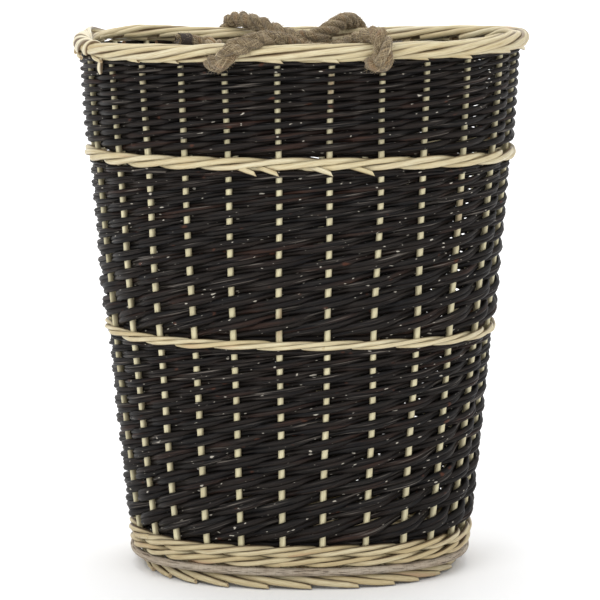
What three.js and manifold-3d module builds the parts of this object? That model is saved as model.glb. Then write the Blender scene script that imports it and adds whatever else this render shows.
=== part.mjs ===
// Wicker log basket: a tall oval willow basket with a rolled border, three pale wales,
// three dark woven bands, a woven foot and two rope handles.
// Millimetres, +Z up. The origin is on the floor under the basket's middle, the front faces -Y.

import * as THREE from "three";
import { mergeVertices } from "three/addons/utils/BufferGeometryUtils.js";
import Module from "manifold-3d";

const wasm = await Module();
wasm.setup();

// Driving dimensions
const STAKES = 26;
const STAKE_RADIUS = 3;
const PLAN_POWER = 2.4; // 2 is an ellipse, higher is boxier
const FOOT_HALF_WIDTH = 153.6; // of the line that the stakes stand on
const FOOT_HALF_DEPTH = 116.6;
const RIM_HALF_WIDTH = 203.5;
const RIM_HALF_DEPTH = 166.5;
const RIM_HEIGHT = 492; // where the border starts
const BASKET_HEIGHT = 509; // at the front's middle
const RIGHT_LIFT = 7.5; // how much higher the rim is at its right end
const LEFT_LIFT = 2.3; // and at its left end
const LEFT_TILT = 8.4; // how much higher the left end's back is than its middle
const BACK_LIFT = 2;
const LIFT_POWER = 2.5; // how suddenly the rim rises towards its ends
const WALL_BULGE = 3; // how far the middle of the wall stands out of a straight taper
const GAP = 0.3; // between touching pieces

const BAND_HALF_WALL = 7.5;
const TOP_BAND_HALF_WALL = 7;
const WALE_HALF_WALL = 8.5;
const FOOT_BORDER_TOP = 13;
const HOOP_RADIUS = 3.7;
const HOOP_OFFSET = 5.4; // outside the stakes' line
const FOOT_WALE_BOTTOM = 21.7;
const LOWER_BAND_BOTTOM = 40.5;
const LOWER_WALE_BOTTOM = 229;
const MIDDLE_BAND_BOTTOM = 239.3;
const UPPER_WALE_BOTTOM = 394.8;
const TOP_BAND_BOTTOM = 407.3;
const BORDER_OFFSET = 3;
const BORDER_HALF_WALL = 11.5;
const BORDER_CHAMFER = 5;
const STAKE_TUCK = 3; // the stakes' feet step in behind the hoop
const STAKE_ROOM = 0.6; // round each stake in its holes
const STAKE_END_GAP = 1.3; // their slanting ends stay clear of the two borders

const BASE_BOTTOM = 13.6;
const BASE_TOP = 29.4;
const BASE_CLEARANCE = 9; // from the stakes' line to the edge of the base's weaving
const STICK_RADIUS = 3.6;
const CROSS_STICK_HEIGHT = 17.6;
const LONG_STICK_HEIGHT = 25.3;
const LONG_STICKS = 3;
const LONG_STICK_SPACING = 24;
const CROSS_STICKS = 7;
const CROSS_STICK_SPACING = 34;

const ROPE_RADIUS = 8;
const WHIPPING_WALL = 1.3;
const WHIPPING_LENGTH = 12;
const ROPE_ROOM = 1.3; // round a rope where it presses into the border or the wall
const KNOT_RADII = [15, 11.5, 14];

// The foot border's section: [offset from the stakes' line, height], with the outside going up.
const FOOT_BORDER_SECTION = [
  [5, 0], [8.5, 3.5], [8.5, 9.5], [5, FOOT_BORDER_TOP],
  [-5, FOOT_BORDER_TOP], [-7, 9], [-7, 4], [-5, 0],
];
const FOOT_BORDER_SQUEEZE = 0.93; // the foot border is shorter than the wall above it
// How far some stakes stand from their even places, as shares of a stake's space: [at the foot, at the rim].
const STAKE_SHIFTS = {
  1: [0.09, 0.11], 2: [0.22, 0.11], 3: [0.28, 0], 4: [0.16, -0.03], 5: [0.08, 0],
  19: [0, 0.1], 20: [0.1, 0.25], 21: [0.2, 0.42], 22: [0.28, 0.45],
  23: [0.12, 0.3], 24: [0.06, 0.15], 25: [-0.01, 0.05], 26: [0.04, 0.07],
};
// Heights that every stake's line passes through, from above the hoop to the border.
const STAKE_HEIGHTS = [FOOT_WALE_BOTTOM + 8, 120, 240, 360, RIM_HEIGHT];
const STICK_SET_BACK = 1; // from a base stick's end to the edge of the base's weaving

const RING_SEGMENTS = 40;
const HOOP_SIDES = 6;
const STAKE_SIDES = 6;
const STAKE_STEPS = 5;
const ROPE_SIDES = 8;
const LOOP_STEPS = 26;
const ROPE_END_STEPS = 12;
const ROPE_ROOM_STEPS = 20;
const KNOT_SEGMENTS = [10, 7];
const SLEEVE_SEGMENTS = 12;

const PALE_WILLOW = { color: 0xe2d3a8, roughness: 0.6, metalness: 0 };
const DARK_WILLOW = { color: 0x2a2321, roughness: 0.5, metalness: 0 };
const BARK = { color: 0xa29482, roughness: 0.85, metalness: 0 };
const JUTE = { color: 0x96826a, roughness: 0.95, metalness: 0 };
const TAPE = { color: 0x2b1f19, roughness: 0.8, metalness: 0 };

// The routes of the two handle ropes, in order from the left end to the right end.
// Each has the left end, from the tail's tip out through the wall; the loop; and the right end.
const FRONT_ROPE = {
  left: [
    [-129, -118, 487.5], [-115.5, -126, 488], [-103, -132.5, 487.5], [-90, -134, 486.5], [-82.5, -144.5, 489.5],
    [-80, -156, 492], [-78.9, -166, 492.3], [-73.4, -176.3, 492.3], [-69.4, -181.8, 493.2], [-67, -184.6, 495.5],
  ],
  loop: [
    [-58.5, -184.8, 505], [-53.5, -183, 506.4], [-47.5, -180, 508.6], [-41, -175.3, 510.8], [-34.5, -169, 512],
    [-27, -161, 512], [-19.5, -151.5, 510.6], [-11.5, -140.5, 508], [-3.5, -129.5, 504.2], [5, -119.5, 500.5],
    [14, -112, 498.8], [23, -108.5, 499.2], [32, -109.5, 500.8], [40, -115.5, 503.8], [47, -126, 507.4],
    [53.5, -139, 511.2], [60, -152.5, 514.2], [66, -164, 516], [70.7, -173, 515.4], [72.6, -180.5, 512],
    [73.2, -184.6, 506],
  ],
  right: [
    [73.8, -185.6, 495.6], [73, -184.3, 493.4], [70.6, -181.1, 492.7], [66.5, -175.7, 493], [63.3, -167.5, 492.8],
    [62.2, -156.5, 491.8], [64, -146, 489.3], [70.5, -139.5, 487], [80, -138, 488], [94, -135, 489.5],
    [108, -130, 490.5],
  ],
};
const BACK_ROPE = {
  left: [
    [-123, 120.5, 498.5], [-112, 126, 498], [-101, 130.5, 494.5], [-90, 133, 489.5], [-84, 144, 489],
    [-81.8, 156, 490], [-81, 166, 490], [-79.7, 175.5, 490.5], [-78.6, 181.5, 492.4], [-77.8, 184.3, 495.5],
  ],
  loop: [
    [-75, 183.8, 506.5], [-72.5, 179.5, 513], [-68.5, 172.5, 517.5], [-63, 163, 519.2], [-56.5, 153.5, 519],
    [-49, 145, 517.4], [-40, 137.5, 515], [-30.5, 130, 511.5], [-21, 122.5, 507.3], [-11, 116.3, 504],
    [0, 112.3, 502.2], [10.5, 111.3, 502.6], [20, 114.5, 505.2], [28, 121.8, 509.6], [35.5, 132.5, 514.4],
    [42.5, 145.5, 517.6], [48.7, 158.5, 518], [54.5, 170, 515.8], [58.8, 178.8, 511.8], [60.8, 183.5, 506],
  ],
  right: [
    [61, 184.8, 495.2], [60.4, 183.4, 492.2], [59, 179, 490.4], [58, 171, 490], [57.5, 160, 490],
    [58.8, 149, 488.5], [65.5, 139.5, 487], [78, 137, 488], [91.5, 133.5, 489.5], [105, 128.5, 491],
  ],
};
const KNOT_POINT = 3; // which point of a rope's end, counted from the tail, its stopper knot sits on
const BORDER_POINTS = 8; // how many points of the loop lie over the border at each side

// The basket's oval outline, starting at the front's middle and going towards +X.
class Outline extends THREE.Curve {
  constructor(halfWidth, halfDepth) {
    super();
    this.halfWidth = halfWidth;
    this.halfDepth = halfDepth;
    this.arcLengthDivisions = 1040;
  }

  getPoint(t, target = new THREE.Vector3()) {
    const angle = 2 * Math.PI * t - Math.PI / 2;
    const bend = (value) => Math.sign(value) * Math.abs(value) ** (2 / PLAN_POWER);
    return target.set(this.halfWidth * bend(Math.cos(angle)), this.halfDepth * bend(Math.sin(angle)), 0);
  }
}

const rimOutline = new Outline(RIM_HALF_WIDTH, RIM_HALF_DEPTH);

// Half the width and half the depth of the stakes' line at a height.
function wallSize(height) {
  const share = height / RIM_HEIGHT;
  const bulge = WALL_BULGE * 4 * share * (1 - share);
  return [
    THREE.MathUtils.lerp(FOOT_HALF_WIDTH, RIM_HALF_WIDTH, share) + bulge,
    THREE.MathUtils.lerp(FOOT_HALF_DEPTH, RIM_HALF_DEPTH, share) + bulge,
  ];
}

// How far the waves of the rim lift a point of the wall. They fade out down to the upper wale.
function rimLift(rim, height) {
  const share = THREE.MathUtils.clamp((height - TOP_BAND_BOTTOM) / (RIM_HEIGHT - TOP_BAND_BOTTOM), 0, 1);
  const x = rim.x / RIM_HALF_WIDTH;
  const y = rim.y / RIM_HALF_DEPTH;
  const end = x > 0 ? RIGHT_LIFT : LEFT_LIFT + LEFT_TILT * y;
  return share * (end * Math.abs(x) ** LIFT_POWER + BACK_LIFT * Math.max(0, y));
}

// The point at a share of the way round, at a height, and an offset outwards from the stakes' line.
function wallPoint(around, height, offset) {
  const [halfWidth, halfDepth] = wallSize(height);
  const rim = rimOutline.getPointAt(((around % 1) + 1) % 1);
  const x = (rim.x / RIM_HALF_WIDTH) * halfWidth;
  const y = (rim.y / RIM_HALF_DEPTH) * halfDepth;
  const slope = (value, half) => (Math.sign(value) * Math.abs(value / half) ** (PLAN_POWER - 1)) / half;
  const outwards = new THREE.Vector3(slope(x, halfWidth), slope(y, halfDepth), 0).normalize();
  return new THREE.Vector3(x, y, height + rimLift(rim, height)).addScaledVector(outwards, offset);
}

function solidOf(geometry) {
  const bare = new THREE.BufferGeometry();
  const source = geometry.index ? geometry.toNonIndexed() : geometry;
  bare.setAttribute("position", source.getAttribute("position"));
  const merged = mergeVertices(bare, 1e-4);
  return new wasm.Manifold(
    new wasm.Mesh({
      numProp: 3,
      vertProperties: new Float32Array(merged.attributes.position.array),
      triVerts: new Uint32Array(merged.index.array),
    }),
  );
}

function geometryOf(solid) {
  const mesh = solid.getMesh();
  const geometry = new THREE.BufferGeometry();
  geometry.setAttribute("position", new THREE.BufferAttribute(new Float32Array(mesh.vertProperties), 3));
  geometry.setIndex(new THREE.BufferAttribute(new Uint32Array(mesh.triVerts), 1));
  geometry.computeVertexNormals();
  return geometry;
}

// A closed ring round the wall. Its section is a list of [offset, height], with the outside going up.
function ring(section) {
  const latheRadius = 1000;
  const lathePoint = ([offset, height]) => new THREE.Vector2(latheRadius + offset, height);
  const points = [...section, section[0]].map(lathePoint);
  const geometry = new THREE.LatheGeometry(points, RING_SEGMENTS);
  const position = geometry.getAttribute("position");
  for (let i = 0; i < position.count; i += 1) {
    const [x, height, z] = [position.getX(i), position.getY(i), position.getZ(i)];
    const around = Math.atan2(x, z) / (2 * Math.PI);
    const point = wallPoint(around, height, Math.hypot(x, z) - latheRadius);
    position.setXYZ(i, point.x, point.y, point.z);
  }
  return geometry;
}

// The section of a band of weaving, with one bend at half its height.
function bandSection(bottom, top, halfWall) {
  const middle = (bottom + top) / 2;
  return [
    [halfWall, bottom], [halfWall, middle], [halfWall, top],
    [-halfWall, top], [-halfWall, middle], [-halfWall, bottom],
  ];
}

function boxSection(bottom, top, halfWall) {
  return [[halfWall, bottom], [halfWall, top], [-halfWall, top], [-halfWall, bottom]];
}

// A rod or rope of a regular section that follows a smooth line through the points.
function tube(points, radius, sides, steps) {
  const corner = (_, i) => {
    const angle = (2 * Math.PI * i) / sides;
    return new THREE.Vector2(radius * Math.cos(angle), radius * Math.sin(angle));
  };
  const section = new THREE.Shape(Array.from({ length: sides }, corner));
  const extrudePath = new THREE.CatmullRomCurve3(points.map((point) => new THREE.Vector3(...point)));
  return new THREE.ExtrudeGeometry(section, { steps, extrudePath, bevelEnabled: false });
}

function stakeLine(index) {
  const [footShift, rimShift] = STAKE_SHIFTS[index + 1] ?? [0, 0];
  const around = (height) => {
    const shift = THREE.MathUtils.lerp(footShift, rimShift, height / RIM_HEIGHT);
    return (index + 0.5 + shift) / STAKES;
  };
  const foot = wallPoint(around(FOOT_BORDER_TOP), FOOT_BORDER_TOP, -STAKE_TUCK);
  return [foot, ...STAKE_HEIGHTS.map((height) => wallPoint(around(height), height, 0))];
}

function stake(index) {
  const line = stakeLine(index);
  line[0].z += STAKE_END_GAP;
  line[line.length - 1].z -= STAKE_END_GAP;
  return tube(line, STAKE_RADIUS, STAKE_SIDES, STAKE_STEPS);
}

// What the stakes need free of every ring that they pass through.
function stakeHoles() {
  const corner = (STAKE_RADIUS + STAKE_ROOM) * Math.SQRT2;
  const past = 2;
  const lines = Array.from({ length: STAKES }, (_, index) => stakeLine(index));
  const holes = lines.map((line) => {
    line[0].z -= past;
    line[line.length - 1].z += past;
    return solidOf(tube(line, corner, 4, STAKE_STEPS));
  });
  return holes.reduce((all, hole) => all.add(hole));
}

// The same ropes a little thicker, which the wall and the border make room for.
function ropeRoom() {
  const parts = [FRONT_ROPE, BACK_ROPE].flatMap((rope) => [
    [...rope.left.slice(KNOT_POINT), ...rope.loop.slice(0, BORDER_POINTS)],
    [...rope.loop.slice(-BORDER_POINTS), ...rope.right.slice(0, -KNOT_POINT)],
  ]);
  const radius = ROPE_RADIUS + ROPE_ROOM;
  const rooms = parts.map((points) => solidOf(tube(points, radius, ROPE_SIDES, ROPE_ROOM_STEPS)));
  return rooms.reduce((all, room) => all.add(room));
}

function baseOutline() {
  const corner = (_, i) => {
    const point = wallPoint(i / RING_SEGMENTS, BASE_BOTTOM, -BASE_CLEARANCE);
    return new THREE.Vector2(point.x, point.y);
  };
  return new THREE.Shape(Array.from({ length: RING_SEGMENTS }, corner));
}

// A straight base stick between two points of the base's edge.
function stickBetween(start, end, radius) {
  return tube([start, start.clone().lerp(end, 0.5), end], radius, STAKE_SIDES, 1);
}

// Half the length of the base along X at a given Y, or along Y at a given X.
function baseReach(across, halfAcross, halfAlong) {
  return halfAlong * (1 - Math.abs(across / halfAcross) ** PLAN_POWER) ** (1 / PLAN_POWER);
}

function longStick(index, radius, extra) {
  const [halfWidth, halfDepth] = wallSize(BASE_BOTTOM).map((half) => half - BASE_CLEARANCE);
  const y = (index - (LONG_STICKS - 1) / 2) * LONG_STICK_SPACING;
  const reach = baseReach(Math.abs(y) + STICK_RADIUS, halfDepth, halfWidth) - STICK_SET_BACK + extra;
  const end = new THREE.Vector3(reach, y, LONG_STICK_HEIGHT);
  return stickBetween(end.clone().setX(-reach), end, radius);
}

function crossStick(index, radius, extra) {
  const [halfWidth, halfDepth] = wallSize(BASE_BOTTOM).map((half) => half - BASE_CLEARANCE);
  const x = (index - (CROSS_STICKS - 1) / 2) * CROSS_STICK_SPACING;
  const reach = baseReach(Math.abs(x) + STICK_RADIUS, halfWidth, halfDepth) - STICK_SET_BACK + extra;
  const end = new THREE.Vector3(x, reach, CROSS_STICK_HEIGHT);
  return stickBetween(end.clone().setY(-reach), end, radius);
}

function baseWeave() {
  const depth = BASE_TOP - BASE_BOTTOM;
  const slab = new THREE.ExtrudeGeometry(baseOutline(), { depth, bevelEnabled: false });
  slab.translate(0, 0, BASE_BOTTOM);
  const room = STICK_RADIUS + 2 * GAP;
  const past = 30;
  let solid = solidOf(slab);
  for (let i = 0; i < LONG_STICKS; i += 1) {
    solid = solid.subtract(solidOf(longStick(i, room, past)));
  }
  for (let i = 0; i < CROSS_STICKS; i += 1) {
    solid = solid.subtract(solidOf(crossStick(i, room, past)));
  }
  return geometryOf(solid);
}

// One end of a handle rope: the stretch through the wall, its stopper knot and its tail.
function ropeEnd(points, knotPoint) {
  const rope = solidOf(tube(points, ROPE_RADIUS, ROPE_SIDES, ROPE_END_STEPS));
  const knot = new THREE.SphereGeometry(1, ...KNOT_SEGMENTS);
  knot.scale(...KNOT_RADII);
  knot.translate(...knotPoint);
  return geometryOf(rope.add(solidOf(knot)));
}

// The dark binding round a tail's tip.
function whipping(tip, next) {
  const inner = ROPE_RADIUS + 2 * GAP;
  const outer = inner + WHIPPING_WALL;
  const half = WHIPPING_LENGTH / 2;
  const section = [[outer, -half], [outer, half], [inner, half], [inner, -half], [outer, -half]];
  const sleeve = new THREE.LatheGeometry(section.map(([x, y]) => new THREE.Vector2(x, y)), SLEEVE_SEGMENTS);
  const start = new THREE.Vector3(...tip);
  const along = new THREE.Vector3(...next).sub(start).normalize();
  const turn = new THREE.Quaternion().setFromUnitVectors(new THREE.Vector3(0, 1, 0), along);
  sleeve.applyQuaternion(turn);
  const middle = start.addScaledVector(along, half);
  sleeve.translate(middle.x, middle.y, middle.z);
  return sleeve;
}

const basket = new THREE.Group();
basket.name = "wicker_log_basket";

function addPiece(name, geometry, finish) {
  const mesh = new THREE.Mesh(geometry, new THREE.MeshStandardMaterial(finish));
  mesh.name = name;
  basket.add(mesh);
}

function addStakes() {
  for (let i = 0; i < STAKES; i += 1) {
    addPiece(`stake_${String(i + 1).padStart(2, "0")}`, stake(i), PALE_WILLOW);
  }
}

function addWall() {
  const holes = stakeHoles();
  const room = ropeRoom();
  const pierced = (section) => solidOf(ring(section)).subtract(holes);
  const wale = (bottom, top, halfWall) => geometryOf(pierced(boxSection(bottom, top, halfWall)));
  const band = (bottom, top) => geometryOf(pierced(bandSection(bottom, top, BAND_HALF_WALL)));
  addPiece("foot_wale", wale(FOOT_WALE_BOTTOM, LOWER_BAND_BOTTOM - GAP, BAND_HALF_WALL), PALE_WILLOW);
  addPiece("lower_band", band(LOWER_BAND_BOTTOM, LOWER_WALE_BOTTOM - GAP), DARK_WILLOW);
  addPiece("lower_wale", wale(LOWER_WALE_BOTTOM, MIDDLE_BAND_BOTTOM - GAP, WALE_HALF_WALL), PALE_WILLOW);
  addPiece("middle_band", band(MIDDLE_BAND_BOTTOM, UPPER_WALE_BOTTOM - GAP), DARK_WILLOW);
  addPiece("upper_wale", wale(UPPER_WALE_BOTTOM, TOP_BAND_BOTTOM - GAP, WALE_HALF_WALL), PALE_WILLOW);
  const topSection = boxSection(TOP_BAND_BOTTOM, RIM_HEIGHT - GAP, TOP_BAND_HALF_WALL);
  addPiece("top_band", geometryOf(pierced(topSection).subtract(room)), DARK_WILLOW);
  addPiece("top_border", geometryOf(solidOf(ring(borderSection())).subtract(room)), PALE_WILLOW);
}

function borderSection() {
  const [inner, outer] = [BORDER_OFFSET - BORDER_HALF_WALL, BORDER_OFFSET + BORDER_HALF_WALL];
  const [bottom, top] = [RIM_HEIGHT, BASKET_HEIGHT];
  const cut = BORDER_CHAMFER;
  return [
    [outer - cut, bottom], [outer, bottom + cut], [outer, top - cut], [outer - cut, top],
    [inner + cut, top], [inner, top - cut], [inner, bottom + cut], [inner + cut, bottom],
  ];
}

function addFoot() {
  addPiece("foot_border", ring(FOOT_BORDER_SECTION).scale(FOOT_BORDER_SQUEEZE, 1, 1), PALE_WILLOW);
  const hoopHeight = (FOOT_BORDER_TOP + FOOT_WALE_BOTTOM) / 2;
  const hoopSection = Array.from({ length: HOOP_SIDES }, (_, i) => {
    const angle = (2 * Math.PI * (i + 0.5)) / HOOP_SIDES;
    return [HOOP_OFFSET + HOOP_RADIUS * Math.cos(angle), hoopHeight + HOOP_RADIUS * Math.sin(angle)];
  });
  addPiece("foot_hoop", ring(hoopSection), BARK);
}

function addBase() {
  addPiece("base_weave", baseWeave(), PALE_WILLOW);
  for (let i = 0; i < LONG_STICKS; i += 1) {
    addPiece(`base_long_stick_${i + 1}`, longStick(i, STICK_RADIUS, 0), PALE_WILLOW);
  }
  for (let i = 0; i < CROSS_STICKS; i += 1) {
    addPiece(`base_cross_stick_${i + 1}`, crossStick(i, STICK_RADIUS, 0), PALE_WILLOW);
  }
}

function addHandle(side, rope) {
  const rightEnd = [...rope.right].reverse();
  addPiece(`${side}_handle_rope`, tube(rope.loop, ROPE_RADIUS, ROPE_SIDES, LOOP_STEPS), JUTE);
  addPiece(`${side}_left_rope_end`, ropeEnd(rope.left, rope.left[KNOT_POINT]), JUTE);
  addPiece(`${side}_right_rope_end`, ropeEnd(rightEnd, rightEnd[KNOT_POINT]), JUTE);
  addPiece(`${side}_left_whipping`, whipping(rope.left[0], rope.left[1]), TAPE);
  addPiece(`${side}_right_whipping`, whipping(rightEnd[0], rightEnd[1]), TAPE);
}

addStakes();
addFoot();
addWall();
addBase();
addHandle("front", FRONT_ROPE);
addHandle("back", BACK_ROPE);

export default basket;
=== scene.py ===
"""A wicker log basket: dark willow woven on pale stakes between three pale wales, a rolled border,
a foot with a bark hoop, a woven base and two rope handles. Shape constants are in millimetres."""

import math

import bpy
import numpy as np
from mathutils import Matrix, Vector


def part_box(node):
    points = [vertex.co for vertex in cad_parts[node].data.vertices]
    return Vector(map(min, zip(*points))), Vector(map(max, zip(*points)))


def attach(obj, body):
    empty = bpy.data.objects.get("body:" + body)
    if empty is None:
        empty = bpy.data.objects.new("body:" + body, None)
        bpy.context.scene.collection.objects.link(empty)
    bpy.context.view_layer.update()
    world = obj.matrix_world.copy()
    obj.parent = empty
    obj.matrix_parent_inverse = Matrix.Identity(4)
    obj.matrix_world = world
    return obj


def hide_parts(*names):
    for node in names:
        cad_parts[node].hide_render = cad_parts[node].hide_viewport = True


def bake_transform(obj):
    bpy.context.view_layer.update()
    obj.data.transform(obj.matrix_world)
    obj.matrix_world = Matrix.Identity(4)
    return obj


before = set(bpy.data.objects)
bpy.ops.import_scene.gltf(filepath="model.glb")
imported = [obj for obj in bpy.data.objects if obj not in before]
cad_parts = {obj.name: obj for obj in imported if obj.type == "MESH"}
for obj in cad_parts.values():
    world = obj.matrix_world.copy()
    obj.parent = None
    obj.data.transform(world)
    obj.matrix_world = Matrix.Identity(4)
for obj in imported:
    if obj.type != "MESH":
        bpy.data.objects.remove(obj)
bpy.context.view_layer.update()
MM = 0.001
TURN = 2 * math.pi
rng = np.random.default_rng(26)

# ---------------------------------------------------------------- the wall's shape, as in the CAD
STAKES = 26
PLAN_POWER = 2.4
FOOT_HALF = (153.6, 116.6)
RIM_HALF = (203.5, 166.5)
RIM_HEIGHT = 492.0
TOP_BAND_BOTTOM = 407.3
RIGHT_LIFT = 7.5  # how much higher the rim is at its right end
LEFT_LIFT = 2.3  # and at its left end
LEFT_TILT = 8.4  # how much higher the left end's back is than its middle
BACK_LIFT = 2.0
LIFT_POWER = 2.5
WALL_BULGE = 3.0
STAKE_RADIUS = 3.0
OUTLINE_STEPS = 20001
# how far some stakes stand from their even places, as shares of a stake's space: at the foot, at the rim
STAKE_SHIFTS = {
    1: (0.09, 0.11), 2: (0.22, 0.11), 3: (0.28, 0.0), 4: (0.16, -0.03), 5: (0.08, 0.0),
    19: (0.0, 0.1), 20: (0.1, 0.25), 21: (0.2, 0.42), 22: (0.28, 0.45),
    23: (0.12, 0.3), 24: (0.06, 0.15), 25: (-0.01, 0.05), 26: (0.04, 0.07),
}


def unit(vectors):
    return vectors / np.maximum(np.linalg.norm(vectors, axis=-1, keepdims=True), 1e-12)


def oval(angle):
    """The superellipse of half sizes 1 at an angle, as x and y."""
    c, s = np.cos(angle), np.sin(angle)
    power = 2 / PLAN_POWER
    return np.sign(c) * np.abs(c) ** power, np.sign(s) * np.abs(s) ** power


OUTLINE_ANGLES = np.linspace(-math.pi / 2, 1.5 * math.pi, OUTLINE_STEPS)
_x, _y = oval(OUTLINE_ANGLES)
_steps = np.hypot(np.diff(_x * RIM_HALF[0]), np.diff(_y * RIM_HALF[1]))
OUTLINE_SHARES = np.concatenate([[0], np.cumsum(_steps)]) / _steps.sum()


def wall_half(height, axis):
    share = height / RIM_HEIGHT
    bulge = WALL_BULGE * 4 * share * (1 - share)
    return FOOT_HALF[axis] + (RIM_HALF[axis] - FOOT_HALF[axis]) * share + bulge


def rim_lift(ux, uy, height):
    share = np.clip((height - TOP_BAND_BOTTOM) / (RIM_HEIGHT - TOP_BAND_BOTTOM), 0, 1)
    end = np.where(ux > 0, RIGHT_LIFT, LEFT_LIFT + LEFT_TILT * uy)
    return share * (end * np.abs(ux) ** LIFT_POWER + BACK_LIFT * np.maximum(0, uy))


def moved_with_stakes(around, height):
    """The share of the way round after the stakes nearby have moved from their even places."""
    place = np.arange(STAKES) + 0.5
    foot, rim = np.array([STAKE_SHIFTS.get(i + 1, (0.0, 0.0)) for i in range(STAKES)]).T
    at = around * STAKES
    low, high = (np.interp(at, place, shift, period=STAKES) for shift in (foot, rim))
    share = height / RIM_HEIGHT
    return around + (low * (1 - share) + high * share) / STAKES


def wall(around, height, offset):
    """Points at shares of the way round, from the front's middle towards +X, and the ways out there."""
    around, height, offset = np.broadcast_arrays(
        np.asarray(around, float), np.asarray(height, float), np.asarray(offset, float)
    )
    ux, uy = oval(np.interp(moved_with_stakes(around, height) % 1, OUTLINE_SHARES, OUTLINE_ANGLES))
    half_x, half_y = wall_half(height, 0), wall_half(height, 1)
    out_x = np.sign(ux) * np.abs(ux) ** (PLAN_POWER - 1) / half_x
    out_y = np.sign(uy) * np.abs(uy) ** (PLAN_POWER - 1) / half_y
    out = unit(np.stack([out_x, out_y, np.zeros_like(out_x)], -1))
    line = np.stack([ux * half_x, uy * half_y, height + rim_lift(ux, uy, height)], -1)
    return line + out * offset[..., None], out


def drift(length, wavelength, size):
    """Smooth random values along a rod."""
    phase, rate = rng.uniform(0, TURN, 3), rng.uniform(0.6, 1.5, 3)
    waves = [np.sin(TURN * k * length / wavelength + p) for p, k in zip(phase, rate)]
    return size * sum(waves) / 1.8


# ---------------------------------------------------------------- meshes swept along lines
class Rods:
    """Collects rods, ropes and fibres into one mesh, with the attributes that the materials read."""

    def __init__(self):
        self.points, self.quads, self.caps = [], [], []
        self.grain, self.seed, self.cut, self.side = [], [], [], []
        self.count = 0

    def _store(self, points, grain, seed, cut, side):
        self.side.append(np.broadcast_to(side, len(points)))
        self.points.append(points)
        self.grain.append(grain)
        self.seed.append(np.full(len(points), seed))
        self.cut.append(np.broadcast_to(cut, len(points)))
        self.count += len(points)

    def add(
        self, line, radius, across, sides=8, closed=False, caps=True, twist=0.0, ridges=0, ridge_size=0.0,
        rows=None, tone=None, slant=None,
    ):
        """One rod along line. across is a direction, or one for each point, that fixes how its section is
        turned. rows keeps a stretch of it. tone is its place in the grain and its shade. slant points to
        the side of the last cut that reaches furthest."""
        line = np.asarray(line, float)
        radius = np.broadcast_to(np.asarray(radius, float), len(line))
        if closed:
            along = np.roll(line, -1, 0) - np.roll(line, 1, 0)
        else:
            along = np.gradient(line, axis=0)
        along = unit(along)
        across = np.broadcast_to(np.asarray(across, float), line.shape)
        first = unit(across - (across * along).sum(-1, keepdims=True) * along)
        second = np.cross(along, first)
        length = np.concatenate([[0], np.cumsum(np.linalg.norm(np.diff(line, axis=0), axis=1))])
        angle = TURN * np.arange(sides) / sides
        turned = angle[None, :] + twist * length[:, None]
        size = radius[:, None] + ridge_size * np.abs(np.cos(ridges * turned / 2)) * (ridges > 0)
        ahead, aside = np.cos(angle)[None, :, None], np.sin(angle)[None, :, None]
        ring = ahead * first[:, None] + aside * second[:, None]
        points = line[:, None] + ring * size[..., None]
        if slant is not None:
            lean = (ring[-1] * size[-1][:, None]) @ np.asarray(slant, float)
            points[-1] += along[-1] * (lean - lean.min())[:, None]
        shift, seed = (rng.uniform(0, 500, 3), rng.uniform()) if tone is None else tone
        # how deep each point lies in a groove between ridges; the rope's material paints shade there
        groove = (1 - np.abs(np.cos(ridges * turned / 2))) * (ridges > 0)
        far = np.broadcast_to(length[:, None], size.shape)
        grain = np.stack([np.cos(turned) * size, np.sin(turned) * size, far], -1) + shift
        if rows is not None:
            points, grain, groove = (values[rows[0] : rows[1]] for values in (points, grain, groove))
            length = length[rows[0] : rows[1]]
        start, rows = self.count, len(points)
        # how far each point faces sideways across the rod, towards its neighbours; the willow materials
        # paint shade there
        side = np.tile(np.abs(np.sin(angle)), rows)
        self._store(points.reshape(-1, 3), grain.reshape(-1, 3), seed, groove.ravel(), side)
        last = rows if closed else rows - 1
        i, j = np.meshgrid(np.arange(last), np.arange(sides), indexing="ij")
        here, there = (i % rows) * sides, ((i + 1) % rows) * sides
        after = (j + 1) % sides
        quads = np.stack([here + j, here + after, there + after, there + j], -1)
        self.quads.append(quads.reshape(-1, 4) + start)
        if caps and not closed:
            for end, order in ((0, -1), (rows - 1, 1)):
                centre = shift + [0, 0, length[end]]
                base = self.count
                self._store(points[end], grain[end] - centre + [0, 0, shift[2]], seed, 1.0, 0.0)
                self.caps.append((np.arange(sides) + base)[::order])

    def build(self, name, look):
        points = np.concatenate(self.points) * MM
        quads = np.concatenate(self.quads)
        corners = np.concatenate([quads.ravel(), *self.caps])
        sizes = np.array([4] * len(quads) + [len(cap) for cap in self.caps])
        mesh = bpy.data.meshes.new(name)
        mesh.vertices.add(len(points))
        mesh.vertices.foreach_set("co", points.astype(np.float32).ravel())
        mesh.loops.add(len(corners))
        mesh.loops.foreach_set("vertex_index", corners.astype(np.int32))
        mesh.polygons.add(len(sizes))
        starts = np.concatenate([[0], np.cumsum(sizes)[:-1]])
        mesh.polygons.foreach_set("loop_start", starts.astype(np.int32))
        mesh.update(calc_edges=True)
        mesh.validate()
        mesh.polygons.foreach_set("use_smooth", np.full(len(mesh.polygons), True))
        grain = mesh.attributes.new("grain", "FLOAT_VECTOR", "POINT")
        grain.data.foreach_set("vector", (np.concatenate(self.grain) * MM).astype(np.float32).ravel())
        for key, values in (("seed", self.seed), ("cut", self.cut), ("side", self.side)):
            attribute = mesh.attributes.new(key, "FLOAT", "POINT")
            attribute.data.foreach_set("value", np.concatenate(values).astype(np.float32))
        mesh.materials.append(look)
        made = bpy.data.objects.new(name, mesh)
        bpy.context.scene.collection.objects.link(made)
        return made


def settle(piece, node=None):
    """A piece stays with the basket and may take a CAD node's place."""
    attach(piece, "basket")
    if node is not None:
        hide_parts(node)


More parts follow.
